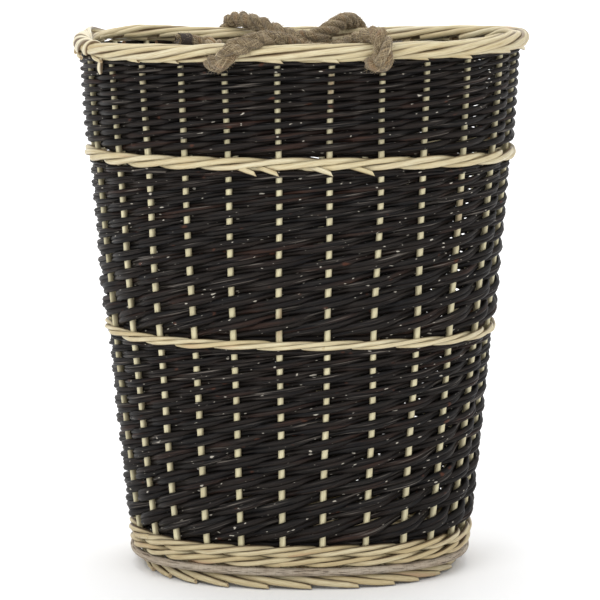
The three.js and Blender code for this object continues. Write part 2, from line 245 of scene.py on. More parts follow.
# ---------------------------------------------------------------- materials
class Look:
    """A node material on one Principled shader, with short names for the nodes that it uses."""

    def __init__(self, name, roughness=0.5, specular=0.5):
        self.material = bpy.data.materials.new(name)
        self.material.use_nodes = True
        self.tree = self.material.node_tree
        self.shader = self.tree.nodes["Principled BSDF"]
        self.shader.inputs["Roughness"].default_value = roughness
        self.shader.inputs["Specular IOR Level"].default_value = specular

    def _node(self, kind, inputs=(), **settings):
        node = self.tree.nodes.new(kind)
        for key, value in settings.items():
            setattr(node, key, value)
        for key, value in dict(inputs).items():
            if isinstance(value, bpy.types.NodeSocket):
                self.tree.links.new(value, node.inputs[key])
            else:
                node.inputs[key].default_value = value
        return node

    def attribute(self, name, output="Fac"):
        return self._node("ShaderNodeAttribute", attribute_name=name).outputs[output]

    def scaled(self, vector, scale):
        inputs = {0: vector, 1: scale}
        return self._node("ShaderNodeVectorMath", inputs, operation="MULTIPLY").outputs[0]

    def noise(self, vector, scale=1.0, detail=3.0, rough=0.6):
        inputs = {"Vector": vector, "Scale": scale, "Detail": detail, "Roughness": rough}
        return self._node("ShaderNodeTexNoise", inputs).outputs["Fac"]

    def length(self, vector):
        return self._node("ShaderNodeVectorMath", {0: vector}, operation="LENGTH").outputs["Value"]

    def math(self, operation, a, b=0.0):
        return self._node("ShaderNodeMath", {0: a, 1: b}, operation=operation).outputs[0]

    def between(self, value, low, high, out_low=0.0, out_high=1.0):
        inputs = {"Value": value, "From Min": low, "From Max": high}
        inputs.update({"To Min": out_low, "To Max": out_high})
        return self._node("ShaderNodeMapRange", inputs).outputs["Result"]

    def mix(self, share, a, b, blend="MIX"):
        node = self._node("ShaderNodeMix", data_type="RGBA", blend_type=blend)
        for socket, value in ((node.inputs[0], share), (node.inputs[6], a), (node.inputs[7], b)):
            if isinstance(value, bpy.types.NodeSocket):
                self.tree.links.new(value, socket)
            else:
                socket.default_value = value if isinstance(value, float) else (*value, 1.0)
        return node.outputs[2]

    def ramp(self, value, *stops):
        node = self._node("ShaderNodeValToRGB", {0: value})
        elements = node.color_ramp.elements
        while len(elements) < len(stops):
            elements.new(0.5)
        for element, (place, colour) in zip(elements, stops):
            element.position = place
            element.color = (*colour, 1.0)
        return node.outputs["Color"]

    def finish(self, colour, roughness=None, height=None, strength=0.5, distance=0.3):
        self.tree.links.new(colour, self.shader.inputs["Base Color"])
        if roughness is not None:
            self.tree.links.new(roughness, self.shader.inputs["Roughness"])
        if height is not None:
            inputs = {"Height": height, "Strength": strength, "Distance": distance * MM}
            bump = self._node("ShaderNodeBump", inputs)
            self.tree.links.new(bump.outputs[0], self.shader.inputs["Normal"])
        return self.material


def rod_look(
    name, tones, streak, patch, patch_share, cut_tone, pith, gloss, specular=0.5, grain_scale=1500,
    bark=None, side_shade=None,
):
    """Willow: a tone for each rod, streaks along it, patches, and cut ends with a pith. Unpeeled rods also
    have bark: dark furrows, pale scratches that are partly painted glints, reddish scars and pale flecks.
    Its last argument paints shade on a rod's sides, where it meets its neighbours: the shade's tone, where
    across the rod it starts and is full, and how strong it is."""
    look = Look(name, roughness=gloss[0], specular=specular)
    grain = look.attribute("grain", "Vector")
    seed = look.attribute("seed")
    fine = look.noise(look.scaled(grain, (grain_scale, grain_scale, grain_scale / 25)), detail=4.0)
    broad = look.noise(look.scaled(grain, (300, 300, 22)), detail=2.0)
    slow = look.noise(look.scaled(grain, (60, 60, 9)), detail=2.0)
    colour = look.ramp(seed, *[(i / (len(tones) - 1), tone) for i, tone in enumerate(tones)])
    colour = look.mix(look.between(fine, 0.42, 0.72), colour, streak)
    colour = look.mix(look.between(broad, 0.35, 0.7, 0.0, 0.35), colour, streak)
    low, high = patch_share
    colour = look.mix(look.between(slow, low, high), colour, patch)
    if bark is not None:
        furrow, scratch_and_glint, scar, fleck = bark
        colour = look.mix(look.between(fine, 0.50, 0.36), colour, furrow)
        # pale scratches, partly painted glints: thin light streaks along a few rods
        thin = look.noise(look.scaled(grain, (800, 800, 20)), detail=1.0)
        rare = look.noise(look.scaled(grain, (55, 55, 16)), detail=1.0)
        scratch_glint_marks = look.math("MULTIPLY", look.between(thin, 0.60, 0.68), look.between(rare, 0.50, 0.62))
        colour = look.mix(scratch_glint_marks, colour, scratch_and_glint)
        spots = look.noise(look.scaled(grain, (110, 110, 70)), detail=1.0)
        colour = look.mix(look.between(spots, 0.72, 0.78), colour, scar)
        small = look.noise(look.scaled(grain, (430, 430, 210)), detail=0.0)
        colour = look.mix(look.between(small, 0.795, 0.835), colour, fleck)
    # painted shade: each rod's sides, where it meets its neighbours, are darkened towards the shade tone
    if side_shade is not None:
        tone, low, high, most = side_shade
        side_shade_mask = look.math("ADD", look.attribute("side"), look.between(broad, 0.3, 0.7, -0.12, 0.12))
        colour = look.mix(look.between(side_shade_mask, low, high, 0.0, most), colour, tone)
    reach = look.length(look.scaled(grain, (1, 1, 0)))
    end = look.mix(look.between(reach, 0.0004, 0.0016), pith, cut_tone)
    colour = look.mix(look.attribute("cut"), colour, end)
    roughness = look.between(broad, 0.3, 0.7, gloss[0], gloss[1])
    height = look.math("ADD", fine, look.math("MULTIPLY", broad, 1.5))
    return look.finish(colour, roughness, height, strength=0.55, distance=0.22)


DARK = rod_look(
    "dark_willow",
    tones=[
        (0.005, 0.0042, 0.004), (0.012, 0.007, 0.005), (0.004, 0.0042, 0.0045),
        (0.010, 0.006, 0.0042), (0.0035, 0.0035, 0.004),
    ],
    streak=(0.018, 0.0145, 0.012), patch=(0.036, 0.016, 0.010), patch_share=(0.58, 0.74),
    cut_tone=(0.34, 0.21, 0.12), pith=(0.12, 0.06, 0.035), gloss=(0.44, 0.64), specular=0.15,
    grain_scale=800,
    # bark: dark furrows, pale scratches that are partly painted glints, reddish scars and pale flecks
    bark=((0.002, 0.002, 0.003), (0.12, 0.105, 0.09), (0.070, 0.026, 0.015), (0.42, 0.39, 0.33)),
    # painted shade on the rods' sides, between neighbouring rods
    side_shade=((0.001, 0.001, 0.001), 0.50, 0.92, 0.75),
)
PALE = rod_look(
    "pale_willow",
    tones=[
        (0.56, 0.47, 0.27), (0.68, 0.62, 0.42), (0.60, 0.52, 0.31),
        (0.70, 0.65, 0.47), (0.57, 0.50, 0.29),
    ],
    streak=(0.44, 0.33, 0.16), patch=(0.50, 0.30, 0.17), patch_share=(0.66, 0.80),
    cut_tone=(0.60, 0.49, 0.31), pith=(0.38, 0.27, 0.16), gloss=(0.40, 0.58),
    # painted shade on the rods' sides, between neighbouring rods
    side_shade=((0.13, 0.075, 0.03), 0.70, 1.0, 0.9),
)
FOOT_PALE = rod_look(
    "foot_willow",
    tones=[
        (0.50, 0.41, 0.22), (0.61, 0.54, 0.34), (0.53, 0.45, 0.26),
        (0.63, 0.57, 0.38), (0.51, 0.43, 0.24),
    ],
    streak=(0.36, 0.26, 0.13), patch=(0.40, 0.24, 0.14), patch_share=(0.64, 0.78),
    cut_tone=(0.56, 0.45, 0.28), pith=(0.34, 0.24, 0.14), gloss=(0.44, 0.62),
    # painted shade on the rods' sides, between neighbouring rods
    side_shade=((0.055, 0.026, 0.009), 0.60, 0.94, 0.95),
)
FAN_PALE = rod_look(
    "fan_willow",
    tones=[(0.68, 0.61, 0.41), (0.80, 0.76, 0.60), (0.72, 0.65, 0.46), (0.78, 0.73, 0.56)],
    streak=(0.54, 0.43, 0.24), patch=(0.56, 0.38, 0.22), patch_share=(0.68, 0.82),
    cut_tone=(0.66, 0.55, 0.37), pith=(0.40, 0.29, 0.18), gloss=(0.40, 0.58),
    # painted shade on the rods' sides, between neighbouring rods
    side_shade=((0.11, 0.06, 0.025), 0.58, 0.96, 0.92),
)
STAKE = rod_look(
    "stake_willow",
    tones=[(0.69, 0.63, 0.41), (0.78, 0.72, 0.48), (0.66, 0.61, 0.39), (0.73, 0.68, 0.45)],
    streak=(0.54, 0.47, 0.27), patch=(0.38, 0.28, 0.16), patch_share=(0.66, 0.78),
    cut_tone=(0.56, 0.43, 0.24), pith=(0.24, 0.15, 0.08), gloss=(0.42, 0.60),
    # painted shade on the rods' sides, between neighbouring rods
    side_shade=((0.20, 0.16, 0.09), 0.6, 1.0, 0.7),
)
STICK = rod_look(
    "base_sticks",
    tones=[(0.52, 0.42, 0.25), (0.60, 0.49, 0.30), (0.55, 0.43, 0.27)],
    streak=(0.40, 0.28, 0.15), patch=(0.34, 0.22, 0.13), patch_share=(0.60, 0.74),
    cut_tone=(0.52, 0.38, 0.21), pith=(0.24, 0.15, 0.08), gloss=(0.52, 0.70),
)


def hoop_look():
    """Old grey bark, streaked and cracked along its length."""
    look = Look("bark_hoop", roughness=0.8, specular=0.3)
    grain = look.attribute("grain", "Vector")
    fine = look.noise(look.scaled(grain, (900, 900, 75)), detail=5.0, rough=0.7)
    broad = look.noise(look.scaled(grain, (420, 420, 26)), detail=3.0)
    slow = look.noise(look.scaled(grain, (60, 60, 22)), detail=2.0)
    stops = (0.25, (0.24, 0.185, 0.13)), (0.5, (0.37, 0.305, 0.23)), (0.75, (0.50, 0.43, 0.335))
    colour = look.ramp(broad, *stops)
    colour = look.mix(look.between(slow, 0.45, 0.7, 0.0, 0.6), colour, (0.38, 0.345, 0.285))
    rings = look.noise(look.scaled(grain, (60, 60, 900)), detail=2.0)
    colour = look.mix(look.between(rings, 0.54, 0.66, 0.0, 0.45), colour, (0.20, 0.15, 0.105))
    crack = look.between(fine, 0.53, 0.62)
    colour = look.mix(look.math("MULTIPLY", crack, 0.85), colour, (0.06, 0.04, 0.025))
    colour = look.mix(look.attribute("cut"), colour, (0.50, 0.38, 0.22))
    height = look.math("SUBTRACT", look.math("SUBTRACT", broad, crack), look.math("MULTIPLY", rings, 0.5))
    roughness = look.between(fine, 0.3, 0.7, 0.66, 0.86)
    return look.finish(colour, roughness, height, strength=0.8, distance=0.3)


def rope_look():
    """Twisted jute: brown-grey yarns with pale and dark fibres, and painted shade in the grooves between
    them.
    """
    look = Look("jute_rope", roughness=0.9, specular=0.2)
    look.shader.inputs["Sheen Weight"].default_value = 0.25
    look.shader.inputs["Sheen Roughness"].default_value = 0.6
    grain = look.attribute("grain", "Vector")
    fibre = look.noise(look.scaled(grain, (1500, 1500, 130)), detail=4.0, rough=0.75)
    yarn = look.noise(look.scaled(grain, (700, 700, 60)), detail=3.0)
    slow = look.noise(look.scaled(grain, (90, 90, 30)), detail=2.0)
    stops = (0.35, (0.095, 0.062, 0.029)), (0.5, (0.20, 0.142, 0.070)), (0.65, (0.38, 0.285, 0.155))
    colour = look.ramp(yarn, *stops)
    colour = look.mix(look.between(fibre, 0.5, 0.64, 0.0, 0.85), colour, (0.58, 0.475, 0.30))
    colour = look.mix(look.between(fibre, 0.5, 0.36, 0.0, 0.85), colour, (0.075, 0.048, 0.028))
    colour = look.mix(look.between(slow, 0.50, 0.66, 0.0, 0.7), colour, (0.30, 0.165, 0.065))
    # painted shade: the grooves between the yarns are darkened
    groove = look.between(look.attribute("cut"), 0.3, 0.95, 0.0, 0.9)
    colour = look.mix(groove, colour, (0.035, 0.021, 0.012))
    height = look.math("ADD", fibre, look.math("MULTIPLY", yarn, 1.4))
    roughness = look.between(fibre, 0.3, 0.7, 0.82, 0.97)
    return look.finish(colour, roughness, height, strength=1.0, distance=0.6)


def fibre_look():
    """Loose jute hairs, paler than the rope."""
    look = Look("jute_hairs", roughness=0.8, specular=0.3)
    stops = (0.0, (0.10, 0.068, 0.033)), (0.5, (0.31, 0.23, 0.125)), (1.0, (0.76, 0.64, 0.44))
    colour = look.ramp(look.attribute("seed"), *stops)
    along = look.noise(look.scaled(look.attribute("grain", "Vector"), (200, 200, 300)), detail=1.0)
    colour = look.mix(look.between(along, 0.4, 0.8, 0.0, 0.4), colour, (0.38, 0.29, 0.18))
    return look.finish(colour, look.between(along, 0.3, 0.7, 0.7, 0.9))


def whipping_look():
    """Dark waxed twine."""
    look = Look("whipping", roughness=0.6, specular=0.4)
    grain = look.attribute("grain", "Vector")
    strands = look.noise(look.scaled(grain, (3000, 3000, 260)), detail=3.0)
    colour = look.ramp(strands, (0.3, (0.018, 0.012, 0.010)), (0.7, (0.060, 0.040, 0.030)))
    roughness = look.between(strands, 0.3, 0.7, 0.5, 0.75)
    return look.finish(colour, roughness, strands, strength=0.8, distance=0.2)


HOOP, JUTE, HAIR, TWINE = hoop_look(), rope_look(), fibre_look(), whipping_look()

# ---------------------------------------------------------------- the camera
CAMERA_DISTANCE = 2.4
CAMERA_HEIGHT = 0.6054
CAMERA_PITCH = math.radians(8.31)
CAMERA_LENS = 150.65
camera = bpy.data.objects.new("camera", bpy.data.cameras.new("camera"))
camera.location = (0, -CAMERA_DISTANCE, CAMERA_HEIGHT)
camera.rotation_euler = (math.pi / 2 - CAMERA_PITCH, 0, 0)
camera.data.sensor_width = 36
camera.data.lens = CAMERA_LENS
camera.data.clip_start, camera.data.clip_end = 0.05, 50
bpy.context.scene.collection.objects.link(camera)
bpy.context.scene.camera = camera

# ---------------------------------------------------------------- the two handle ropes
ROPE_DIAMETER = 16.0
STRAND_RADIUS = 3.75
STRAND_REACH = 4.15  # from the rope's line to a strand's
ROPE_LAY = 47.0  # the length of one turn of a strand
YARNS = 7
YARN_RIDGE = 0.5
YARN_TWIST = -TURN / 21
HOLE_THIN = 0.86  # how far a rope is squeezed where it passes under the border
SHOULDER_SWELL = 1.03  # and how far it bulges where it bends up round the border
WALL_FACE = 168.0  # the distance from the middle, along Y, at which a rope comes out of the wall
KNOT_POINT = 3
KNOT_STRAND = 3.7
SQUEEZE_REACH = [146, 154, 166, 174]  # from the middle, along Y, where a rope is thinner

FRONT_LEFT = [
    (-129, -118, 487.5), (-115.5, -126, 488), (-103, -132.5, 487.5), (-90, -134, 486.5),
    (-82.5, -144.5, 489.5), (-80, -156, 492), (-78.9, -166, 492.3), (-73.4, -176.3, 492.3),
    (-69.4, -181.8, 493.2), (-67, -184.6, 495.5),
]
FRONT_LOOP = [
    (-58.5, -184.8, 505), (-53.5, -183, 506.4), (-47.5, -180, 508.6), (-41, -175.3, 510.8),
    (-34.5, -169, 512), (-27, -161, 512), (-19.5, -151.5, 510.6), (-11.5, -140.5, 508),
    (-3.5, -129.5, 504.2), (5, -119.5, 500.5), (14, -112, 498.8), (23, -108.5, 499.2),
    (32, -109.5, 500.8), (40, -115.5, 503.8), (47, -126, 507.4), (53.5, -139, 511.2),
    (60, -152.5, 514.2), (66, -164, 516), (70.7, -173, 515.4), (72.6, -180.5, 512),
    (73.2, -184.6, 506),
]
FRONT_RIGHT = [
    (73.8, -185.6, 495.6), (73, -184.3, 493.4), (70.6, -181.1, 492.7), (66.5, -175.7, 493),
    (63.3, -167.5, 492.8), (62.2, -156.5, 491.8), (64, -146, 489.3), (70.5, -139.5, 487),
    (80, -138, 488), (94, -135, 489.5), (108, -130, 490.5),
]
BACK_LEFT = [
    (-123, 120.5, 498.5), (-112, 126, 498), (-101, 130.5, 494.5), (-90, 133, 489.5),
    (-84, 144, 489), (-81.8, 156, 490), (-81, 166, 490), (-79.7, 175.5, 490.5),
    (-78.6, 181.5, 492.4), (-77.8, 184.3, 495.5),
]
BACK_LOOP = [
    (-75, 183.8, 506.5), (-72.5, 179.5, 513), (-68.5, 172.5, 517.5), (-63, 163, 519.2),
    (-56.5, 153.5, 519), (-49, 145, 517.4), (-40, 137.5, 515), (-30.5, 130, 511.5),
    (-21, 122.5, 507.3), (-11, 116.3, 504), (0, 112.3, 502.2), (10.5, 111.3, 502.6),
    (20, 114.5, 505.2), (28, 121.8, 509.6), (35.5, 132.5, 514.4), (42.5, 145.5, 517.6),
    (48.7, 158.5, 518), (54.5, 170, 515.8), (58.8, 178.8, 511.8), (60.8, 183.5, 506),
]
BACK_RIGHT = [
    (61, 184.8, 495.2), (60.4, 183.4, 492.2), (59, 179, 490.4), (58, 171, 490),
    (57.5, 160, 490), (58.8, 149, 488.5), (65.5, 139.5, 487), (78, 137, 488),
    (91.5, 133.5, 489.5), (105, 128.5, 491),
]


def smooth_line(points, spacing):
    """A centripetal Catmull-Rom curve through the points, at an even spacing."""
    p = np.asarray(points, float)
    p = np.concatenate([[2 * p[0] - p[1]], p, [2 * p[-1] - p[-2]]])
    made = []
    for a, b, c, d in zip(p[:-3], p[1:-2], p[2:-1], p[3:]):
        ab, bc, cd = (max(np.linalg.norm(v) ** 0.5, 1e-6) for v in (b - a, c - b, d - c))
        from_b = ((b - a) / ab - (c - a) / (ab + bc) + (c - b) / bc) * bc
        from_c = ((c - b) / bc - (d - b) / (bc + cd) + (d - c) / cd) * bc
        t = np.linspace(0, 1, 30, endpoint=False)[:, None]
        step = (2 * t**3 - 3 * t**2 + 1) * b + (t**3 - 2 * t**2 + t) * from_b
        made.append(step + (3 * t**2 - 2 * t**3) * c + (t**3 - t**2) * from_c)
    line = np.concatenate([*made, p[-2:-1]])
    length = np.concatenate([[0], np.cumsum(np.linalg.norm(np.diff(line, axis=0), axis=1))])
    even = np.linspace(0, length[-1], max(4, int(round(length[-1] / spacing)) + 1))
    return np.stack([np.interp(even, length, line[:, k]) for k in range(3)], -1)


def carried_frame(line):
    """Two directions across a line that don't turn about it."""
    along = unit(np.gradient(line, axis=0))
    first = np.zeros_like(line)
    start = np.cross(along[0], (0, 0, 1))
    first[0] = unit(start)
    for i in range(1, len(line)):
        carried = first[i - 1] - first[i - 1].dot(along[i]) * along[i]
        first[i] = unit(carried)
    return first, np.cross(along, first)


def rope_strands(line, thick):
    """The middle, radius, outward directions and tone of each of the three strands laid round a line."""
    first, second = carried_frame(line)
    length = np.concatenate([[0], np.cumsum(np.linalg.norm(np.diff(line, axis=0), axis=1))])
    strands = []
    for strand in range(3):
        angle = TURN * (strand / 3 + length / ROPE_LAY) + drift(length, 60, 0.10)
        outwards = np.cos(angle)[:, None] * first + np.sin(angle)[:, None] * second
        swell = thick * (1 + drift(length, 35, 0.03))
        centre = line + outwards * (STRAND_REACH * swell)[:, None]
        radius = STRAND_RADIUS * swell * (1 + drift(length, 8, 0.02)) - YARN_RIDGE
        strands.append((centre, radius, outwards, (rng.uniform(0, 500, 3), rng.uniform())))
    return strands


def add_strands(rods, strands, rows):
    for centre, radius, outwards, tone in strands:
        rods.add(
            centre, radius, outwards, sides=40, twist=YARN_TWIST, ridges=YARNS, ridge_size=YARN_RIDGE * 2,
            rows=rows, tone=tone,
        )


def surface_fibres(rods, strands, rows, count):
    """Fibres that lie along a rope's yarns, a little proud of them."""
    for _ in range(count):
        centre, radius, outwards, _tone = strands[rng.integers(3)]
        size = int(rng.integers(6, 15))
        start = int(rng.integers(rows[0], rows[1] - size))
        i = np.arange(start, start + size)
        along = unit(np.gradient(centre[i], axis=0))
        side = np.cross(along, outwards[i])
        angle = rng.normal(0, 1.0) + (YARN_TWIST + rng.normal(0, 0.06)) * np.arange(size)
        spoke = np.cos(angle)[:, None] * outwards[i] + np.sin(angle)[:, None] * side
        bow = np.sin(np.linspace(0, np.pi, size)) * rng.uniform(0, 0.5)
        lift = radius[i] + YARN_RIDGE * 1.7 + bow
        rods.add(centre[i] + spoke * lift[:, None], 0.15, spoke, sides=3, caps=False)


def hairs(rods, line, count, low=3.0, high=8.0, lean_along=0.0):
    """Loose fibres that stand off a rope, or off a frayed end lying along it."""
    first, second = carried_frame(line)
    along = unit(np.gradient(line, axis=0))
    picks = rng.integers(1, len(line) - 1, count)
    for i in picks:
        angle = rng.uniform(0, TURN)
        out = math.cos(angle) * first[i] + math.sin(angle) * second[i]
        side = np.cross(along[i], out)
        lean = along[i] * rng.normal(lean_along, 1.1) + side * rng.normal(0, 0.9)
        long = rng.uniform(low, high)
        root = line[i] + out * (ROPE_DIAMETER / 2 - 1.3)
        curl = rng.normal(0, 0.35, 3)
        t = np.linspace(0, 1, 4)[:, None]
        hair = root + long * (t * unit(out * 0.55 + lean * 0.6) + t**2 * curl)
        lift = np.linalg.norm(hair - line[i], axis=1, keepdims=True)
        hair = line[i] + (hair - line[i]) * np.minimum(1, 11.5 / np.maximum(lift, 1e-6)) ** 0.8
        rods.add(hair, np.array([0.13, 0.12, 0.10, 0.05]), out + 0.3 * side, sides=3, caps=False)


def stopper_knot(rods, centre, along):
    """A tight stopper knot: one strand braided three times round the rope."""
    along = unit(np.asarray(along, float))
    first = unit(np.cross(along, (0, 0, 1)))
    second = np.cross(along, first)
    turn = np.linspace(0, TURN, 240, endpoint=False)
    radius = 8.2 + 1.9 * np.sin(8 * turn + 0.4)
    height = 7.2 * np.cos(4 * turn)
    radius = radius - 1.6 * np.abs(np.cos(4 * turn)) ** 4
    spoke = np.cos(3 * turn)[:, None] * first + np.sin(3 * turn)[:, None] * second
    line = centre + spoke * radius[:, None] + height[:, None] * along
    across = unit(spoke + 0.01 * along)
    rods.add(line, KNOT_STRAND, across, sides=24, closed=True)


def whipping(rods, start, along):
    """Tight turns of twine round a tail's tip."""
    along = unit(np.asarray(along, float))
    first = unit(np.cross(along, (0, 0, 1)))
    second = np.cross(along, first)
    turns, twine = 11, 0.62
    angle = np.linspace(0, TURN * turns, turns * 26)
    reach = 7.9 + drift(angle, 9, 0.10)
    spoke = np.cos(angle)[:, None] * first + np.sin(angle)[:, None] * second
    line = start + spoke * reach[:, None] + (1.2 + angle / TURN * 2 * twine * 0.93)[:, None] * along
    rods.add(line, twine, spoke, sides=6)


def handle(side, left, loop, right):
    """One handle rope with its tails, knots and whippings."""
    line = smooth_line([*left, *loop, *right], 1.0)
    reach = np.abs(line[:, 1])
    out = np.flatnonzero(reach > WALL_FACE)
    first, last = int(out[0]), int(out[-1])
    rows = len(line)
    row = np.arange(rows)
    ends = np.minimum(row, rows - 1 - row)
    near_ends = (row <= first + 8) | (row >= last - 8)
    squeezed = np.interp(reach, SQUEEZE_REACH, [0, 1, 1, 0]) * near_ends
    bulge = np.interp(reach, [174, 181], [0, 1])
    thick = np.interp(ends, [0, 8], [0.88, 1.0])
    thick = thick - (1 - HOLE_THIN) * squeezed + (SHOULDER_SWELL - 1) * bulge
    strands = rope_strands(line, thick)
    tails = []
    for hand, points, part in (("left", left, (0, first + 1)), ("right", right[::-1], (last, rows))):
        rods = Rods()
        add_strands(rods, strands, part)
        way = np.array(points[KNOT_POINT + 1], float) - np.array(points[KNOT_POINT - 1], float)
        stopper_knot(rods, np.array(points[KNOT_POINT], float), way)
        tail = rods.build(f"{side}_{hand}_tail", JUTE)
        settle(tail, f"{side}_{hand}_rope_end")
        rods = Rods()
        tip, after = np.array(points[0], float), np.array(points[1], float)
        whipping(rods, tip, after - tip)
        bound = rods.build(f"{side}_{hand}_whipping_turns", TWINE)
        settle(bound, f"{side}_{hand}_whipping")
        outwards = line[: first + 1] if hand == "left" else line[: last - 1 : -1]
        rods = Rods()
        hairs(rods, outwards[:60], 260, 2.0, 6.0)
        hairs(rods, outwards[:6], 60, 3.0, 7.0, lean_along=-2.2)
        surface_fibres(rods, strands, part, 160)
        fuzz = rods.build(f"{side}_{hand}_tail_hairs", HAIR)
        settle(fuzz)
        tails += [tail, bound, fuzz]
    part = (first, last + 1)
    rods = Rods()
    add_strands(rods, strands, part)
    rope = rods.build(f"{side}_rope", JUTE)
    rods = Rods()
    free = line[first : last + 1]
    hairs(rods, free, 2200, 2.0, 6.5)
    surface_fibres(rods, strands, part, 1500)
    fuzz = rods.build(f"{side}_rope_hairs", HAIR)
    for piece in (rope, fuzz):
        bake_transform(piece)
    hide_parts(f"{side}_handle_rope")


handle(
    "front", FRONT_LEFT, FRONT_LOOP, FRONT_RIGHT,
)
handle(
    "back", BACK_LEFT, BACK_LOOP, BACK_RIGHT,
)

# ---------------------------------------------------------------- stakes
PER_SPACE = 8  # points along a rod for each space between stakes


def willow_radius(length, radius, rough=0.035):
    """A rod's radius with gentle swellings."""
    return radius * (1 + drift(length, 90, rough) + drift(length, 24, rough * 0.5))


STAKE_FOOT = 14.6


def make_stakes():
    for i in range(STAKES):
        height = np.linspace(STAKE_FOOT, RIM_HEIGHT + 1.5, 64)
        around = (i + 0.5) / STAKES + drift(height, 260, 0.9) / 1200
        tuck = -3.0 * np.clip(1 - (height - STAKE_FOOT) / 16, 0, 1)
        line, out = wall(around, height, tuck + drift(height, 150, 0.25))
        rods = Rods()
        rods.add(line, willow_radius(height, 3.15 - 0.25 * height / RIM_HEIGHT), out, sides=12)
        name = f"stake_{i + 1:02d}"
        stake = rods.build(f"{name}_rod", STAKE)
        settle(stake, name)


make_stakes()


# ---------------------------------------------------------------- woven bands
STAKE_SPACE = 44.0  # about the distance from one stake to the next
ROD_CROWDING = 1.26  # how much thicker than their spacing the dark rods are
ROD_DIAMETERS = (2.4, 7.4)
WEAVE_DEPTH = 0.76


def weave_band(name, node, first, last, squares, ratio, paired):
    """Rods that start behind every stake and climb to the right, behind one and in front of the next.
    first and last are the heights where a stake shows for the first and the last time."""
    rods = Rods()
    top = 2 * (squares - 1) + 1
    share = 1 - ratio ** (squares - 1)
    rise = (last - first) / share

    def height_at(t):
        inside = np.clip(t, -0.15, top + 0.1)
        return first + rise * (1 - ratio ** (inside / 2))

    def pitch_at(t):
        return -rise * math.log(ratio) * ratio ** (np.clip(t, 0, top) / 2)

    for start in range(STAKES):
        t0, t1 = -0.78 - rng.uniform(0, 0.15), top + 0.72 + rng.uniform(0, 0.15)
        t = np.linspace(t0, t1, int((t1 - t0) * PER_SPACE) + 1)
        thick = pitch_at(t) / 2 / (2 if paired else 1)
        far = t * STAKE_SPACE
        shared_rise = drift(far, 170, 0.35)
        swing = -np.cos(np.pi * t)
        swing = np.where(t < 0, -1 + 0.6 * np.maximum(t, -1), swing * (1.12 - 0.12 * swing**2))
        for member in ((-1, 1) if paired else (0,)):
            size = 1 + rng.normal(0, 0.035)
            diameter = np.clip(thick * ROD_CROWDING * size, *ROD_DIAMETERS)
            radius = willow_radius(far + rng.uniform(0, 900), diameter / 2)
            lean = drift(far, 120, 0.30)
            height = height_at(t) + shared_rise + member * thick / 2 * np.cos(lean) + drift(far, 60, 0.10)
            amount = WEAVE_DEPTH * (STAKE_RADIUS + diameter / 2)
            offset = amount * swing + member * thick / 2 * np.sin(lean) + drift(far, 75, 0.22)
            line, out = wall((start + 0.5 + t) / STAKES, height, offset)
            rods.add(line, radius, out)
    made = rods.build(name, DARK)
    settle(made, node)


weave_band("lower_dark_weave", "lower_band", 46.0, 222.5, 11, 0.933, True)
weave_band("middle_dark_weave", "middle_band", 243.5, 386.6, 10, 0.93, True)
weave_band("top_dark_weave", "top_band", 410.6, 488.2, 10, 0.953, False)


# ---------------------------------------------------------------- wales
RODS_PER_WALE = 4
WALE_RISE = 0.56


def wale_row(rods, middle, diameter, turn=0.0):
    """One row of three-rod waling, in front of two stakes and behind one: a line three times round."""
    total = 3 * STAKES
    s = np.arange(total * PER_SPACE) / PER_SPACE + turn
    phase = (s - 0.5) / 3 % 1
    rise = -np.sin(TURN * (phase + 1 / 6))
    # 1 in front of the two stakes, -1 behind the third
    ahead = np.interp(
        phase, [0, 1 / 12, 1 / 6, 1 / 3, 1 / 2, 7 / 12, 2 / 3, 3 / 4, 5 / 6, 11 / 12, 1],
        [0, 0.55, 0.97, 1.12, 0.97, 0.55, 0, -0.66, -1, -0.66, 0],
    )
    breaks = np.linspace(0, total, RODS_PER_WALE + 1)[:-1] + rng.uniform(2, 14)
    for i, begin in enumerate(breaks):
        end = breaks[i + 1] if i + 1 < len(breaks) else breaks[0] + total
        begin, end = (math.floor(v / 3) * 3 + v0 for v, v0 in ((begin, 0.15 + turn), (end, 0.95 + turn)))
        pick = np.linspace(begin, end, int((end - begin) * PER_SPACE) + 1)
        wrap = (pick - turn) % total + turn
        far = pick * STAKE_SPACE
        height = middle + WALE_RISE * diameter * np.interp(wrap, s, rise, period=total)
        height = height + drift(far, 150, 0.3)
        taper = 1 + 0.05 * np.cos(TURN * (pick - begin) / (end - begin))
        radius = willow_radius(far, diameter / 2 * taper)
        offset = (STAKE_RADIUS + diameter / 2 + 0.1) * np.interp(wrap, s, ahead, period=total)
        offset = offset + drift(far, 90, 0.2)
        line, out = wall((pick + 0.5) / STAKES, height, offset)
        rods.add(line, radius, out, sides=10)


def make_wale(name, node, rows, diameter, look=PALE):
    rods = Rods()
    for turn, middle in enumerate(rows):
        wale_row(rods, middle, diameter, turn=turn)
    made = rods.build(name, look)
    settle(made, node)


make_wale("foot_wale_rods", "foot_wale", (27.0, 36.4), 5.5, FOOT_PALE)
make_wale("lower_wale_rods", "lower_wale", (234.0,), 4.4)
make_wale("upper_wale_rods", "upper_wale", (401.0,), 5.9)


def make_wale_tips():
    """A few cut ends that stick out under the upper wale at the front."""
    rods = Rods()
    for middle in (-47.0, -29.0, 17.0, 52.0):
        share = np.linspace(0, 1, 12)
        around = (middle - 16 + 20 * share + rng.uniform(-1, 1)) / 1150
        height = 399 - 5.5 * share**1.4
        line, out = wall(around, height, -2 + 11.5 * np.sin(share * math.pi / 2))
        rods.add(line, np.interp(share, [0, 0.8, 1], [2.5, 2.4, 2.0]), out, sides=12, slant=(0, 0, -1.1))
    tips = rods.build("upper_wale_tips", PALE)
    settle(tips)


make_wale_tips()

